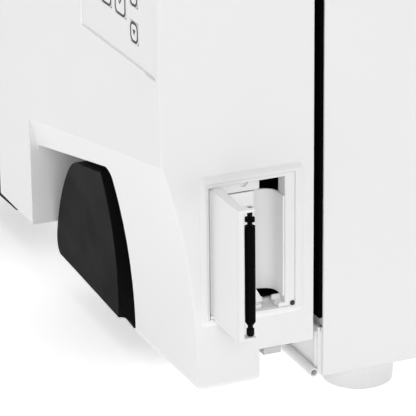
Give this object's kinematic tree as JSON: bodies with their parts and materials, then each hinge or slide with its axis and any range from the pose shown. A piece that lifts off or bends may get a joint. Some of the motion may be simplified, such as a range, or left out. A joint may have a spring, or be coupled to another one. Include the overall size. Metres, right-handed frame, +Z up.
{
  "type": "benchtop autoclave",
  "caption": "White benchtop steam autoclave with a full-width swinging front door, a side printer flap, a black grip in a lower notch and a keypad.",
  "frame": {"origin": "bottom centre of the whole object on the table plane, the open printer flap included", "axes": "+X to the right seen from the front, +Y from the door to the back, +Z up"},
  "size_m": [0.5376, 0.6, 0.42],
  "materials": {
    "aluminium": "plain aluminium",
    "black_gloss": "glossy black",
    "black_plastic": "satin black, fine texture",
    "black_rubber": "matt black rubber",
    "brass": "turned brass",
    "chrome_wire": "plated wire",
    "circuit_board": "green solder mask",
    "display": "dark display window",
    "filter_plastic": "white filter housing",
    "gear_plastic": "natural acetal",
    "grey_plastic": "satin moulded plastic",
    "insulation": "needled glass felt",
    "key_membrane": "matt polyester foil with a dark border",
    "light_rubber": "light grey elastomer",
    "membrane": "matt printed polyester foil",
    "painted_steel": "white powder coat",
    "platen_rubber": "ground black rubber",
    "pump_casting": "dark painted casting",
    "silicone": "translucent silicone",
    "stainless": "brushed and polished stainless steel",
    "steel": "plain bright steel",
    "tank_plastic": "translucent white polythene",
    "white_plastic": "satin moulded ABS, very fine texture",
    "white_rubber": "white elastomer"
  },
  "bodies": {
    "cabinet": {"bacteria_filter": "filter_plastic", "base_tray": "painted_steel", "casing_cover": "painted_steel", "chamber": "stainless", "condenser": "aluminium", "drain_ports": "brass", "electronics": "circuit_board", "fan_frame": "black_plastic", "fan_guard": "chrome_wire", "feet": "white_rubber", "flange_bolts": "steel", "front_bulkhead": "painted_steel", "front_gaskets": "black_rubber", "fuse_holders": "black_plastic", "hinge_arms": "steel", "instrument_trays": "aluminium", "insulation_jacket": "insulation", "lid_hinge": "steel", "mains_inlet": "black_plastic", "rear_panel": "painted_steel", "rear_screws": "steel", "safety_valve": "brass", "solenoid_valves": "brass", "steam_generator": "stainless", "switch_housing": "black_plastic", "tray_rack": "stainless", "vacuum_pump": "pump_casting", "vessel_flange": "stainless", "water_pump": "pump_casting", "water_tanks": "tank_plastic"},
    "door": {"door_fascia": "white_plastic", "door_back_cover": "grey_plastic", "pressure_disc": "stainless", "door_seal": "silicone", "door_frame": "steel", "hinge_pins": "steel", "control_panel": "membrane", "display_window": "display", "control_board": "circuit_board", "handle_pin": "steel", "notch_liners": "black_plastic", "printer_housing": "white_plastic", "paper_bucket": "white_plastic", "print_mechanism": "black_plastic", "status_light": "black_gloss", "door_buffer": "light_rubber"},
    "handle": {"handle_paddle": "black_plastic"},
    "printer_flap": {"printer_flap": "white_plastic"},
    "platen": {"platen_roller": "platen_rubber", "platen_shaft": "black_plastic", "platen_gear": "black_plastic"},
    "print_gear": {"drive_gear": "gear_plastic"},
    "ok_key": {"ok_key": "key_membrane"},
    "back_key": {"back_key": "key_membrane"},
    "up_key": {"up_key": "key_membrane"},
    "down_key": {"down_key": "key_membrane"},
    "tank_lid": {"tank_lid": "white_plastic"},
    "fan_rotor": {"fan_rotor": "black_plastic"},
    "power_rocker": {"power_rocker": "black_gloss"},
    "lock_bolts": {"lock_bolts": "steel"}
  },
  "joints": [
    {"name": "door_swing", "type": "hinge", "parent": "cabinet", "child": "door", "pos_m": [-0.2514, -0.255, 0.22], "axis": [0, 0, -1], "range_deg": [0, 95]},
    {"name": "handle_pull", "type": "hinge", "parent": "door", "child": "handle", "pos_m": [0.1006, -0.272, 0.103], "axis": [-1, 0, 0], "range_deg": [0, 12], "stiffness_Nm_per_rad": 0.6, "springref_deg": -6.88},
    {"name": "printer_flap_swing", "type": "hinge", "parent": "door", "child": "printer_flap", "pos_m": [0.2303, -0.2697, 0.104], "axis": [0, 0, 1], "range_deg": [0, 90]},
    {"name": "platen_spin", "type": "hinge", "parent": "printer_flap", "child": "platen", "pos_m": [0.265, -0.2621, 0.104], "axis": [0, 0, 1], "continuous": true},
    {"name": "print_gear_spin", "type": "hinge", "parent": "door", "child": "print_gear", "pos_m": [0.1996, -0.2561, 0.092], "axis": [0, 0, 1], "continuous": true},
    {"name": "tank_lid_swing", "type": "hinge", "parent": "cabinet", "child": "tank_lid", "pos_m": [0.1776, -0.095, 0.4138], "axis": [1, 0, 0], "range_deg": [0, 80]},
    {"name": "fan_spin", "type": "hinge", "parent": "cabinet", "child": "fan_rotor", "pos_m": [-0.1644, 0.258, 0.125], "axis": [0, 1, 0], "continuous": true},
    {"name": "power_rocker_tilt", "type": "hinge", "parent": "cabinet", "child": "power_rocker", "pos_m": [0.1206, 0.28, 0.063], "axis": [1, 0, 0], "range_deg": [0, 14]},
    {"name": "lock_bolts_slide", "type": "slide", "parent": "cabinet", "child": "lock_bolts", "axis": [0, -1, 0], "range_m": [0, 0.009]},
    {"name": "ok_key_press", "type": "slide", "parent": "door", "child": "ok_key", "axis": [0, 1, 0], "range_m": [0, 0.0005], "stiffness_N_per_m": 900, "springref_m": -0.0004},
    {"name": "back_key_press", "type": "slide", "parent": "door", "child": "back_key", "axis": [0, 1, 0], "range_m": [0, 0.0005], "stiffness_N_per_m": 900, "springref_m": -0.0004},
    {"name": "up_key_press", "type": "slide", "parent": "door", "child": "up_key", "axis": [0, 1, 0], "range_m": [0, 0.0005], "stiffness_N_per_m": 900, "springref_m": -0.0004},
    {"name": "down_key_press", "type": "slide", "parent": "door", "child": "down_key", "axis": [0, 1, 0], "range_m": [0, 0.0005], "stiffness_N_per_m": 900, "springref_m": -0.0004}
  ]
}
